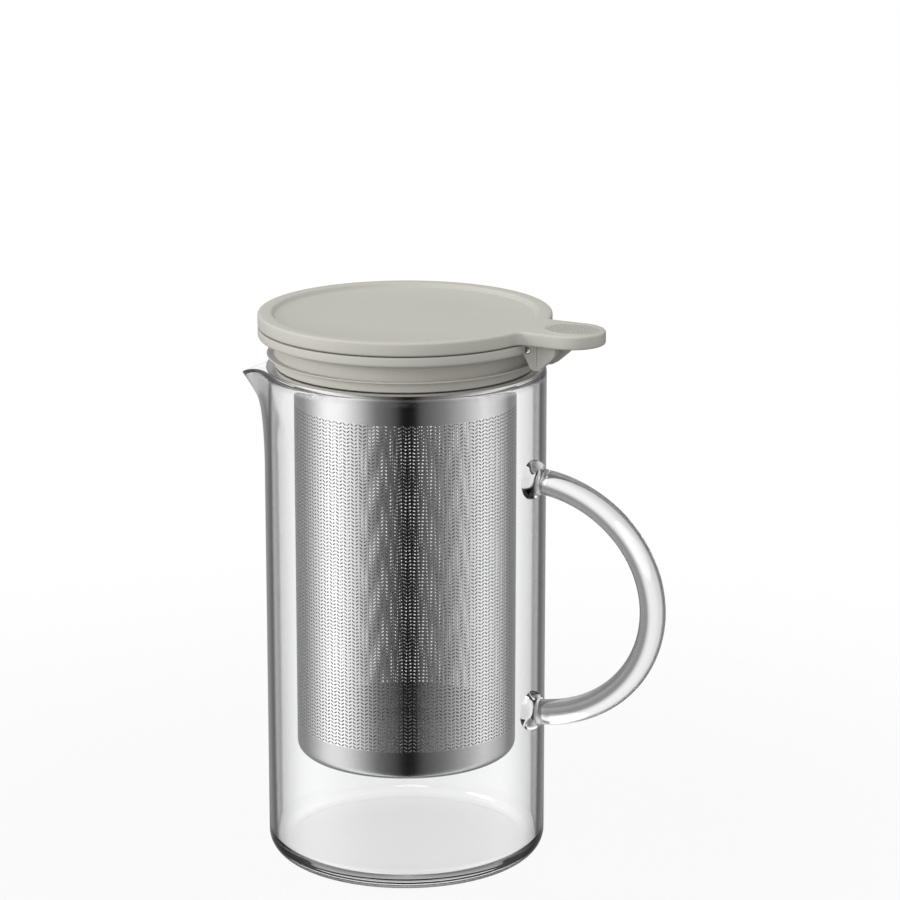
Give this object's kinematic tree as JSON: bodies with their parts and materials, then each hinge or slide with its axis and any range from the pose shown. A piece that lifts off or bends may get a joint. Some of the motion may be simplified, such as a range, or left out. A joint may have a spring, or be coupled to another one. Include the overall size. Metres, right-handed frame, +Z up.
{
  "type": "tea infuser pitcher",
  "caption": "Glass tea pitcher with a pulled spout and rod handle, a perforated steel infuser, a silicone sealing ring and a thumb-operated flip lid.",
  "frame": {"origin": "centre of the pitcher's underside, on the surface that it stands on", "axes": "+Z up along the pitcher's axis, +X towards the handle and the lid's thumb tab, -X towards the spout"},
  "size_m": [0.1781, 0.1167, 0.212],
  "materials": {
    "clear_glass": "clear, polished",
    "stainless": "satin to polished",
    "grey_silicone": "matte",
    "grey_plastic": "matte"
  },
  "bodies": {
    "pitcher": {"glass_body": "clear_glass", "glass_handle": "clear_glass"},
    "infuser": {"infuser_collar": "stainless", "infuser_screen": "stainless", "infuser_cup": "stainless"},
    "ring": {"silicone_ring": "grey_silicone"},
    "lid": {"lid_base": "grey_plastic", "hinge_pin": "stainless"},
    "cover": {"lid_cover": "grey_plastic"}
  },
  "joints": [
    {"name": "infuser_lift", "type": "slide", "parent": "pitcher", "child": "infuser", "axis": [0, 0, 1], "range_m": [0, 0.0363]},
    {"name": "ring_lift", "type": "slide", "parent": "infuser", "child": "ring", "axis": [0, 0, 1], "range_m": [0, 0.0281]},
    {"name": "lid_lift", "type": "slide", "parent": "ring", "child": "lid", "axis": [0, 0, 1], "range_m": [0, 0.0391]},
    {"name": "cover_flip", "type": "hinge", "parent": "lid", "child": "cover", "pos_m": [0.055, 0, 0.2037], "axis": [0, -1, 0], "range_deg": [-40, 0]}
  ]
}
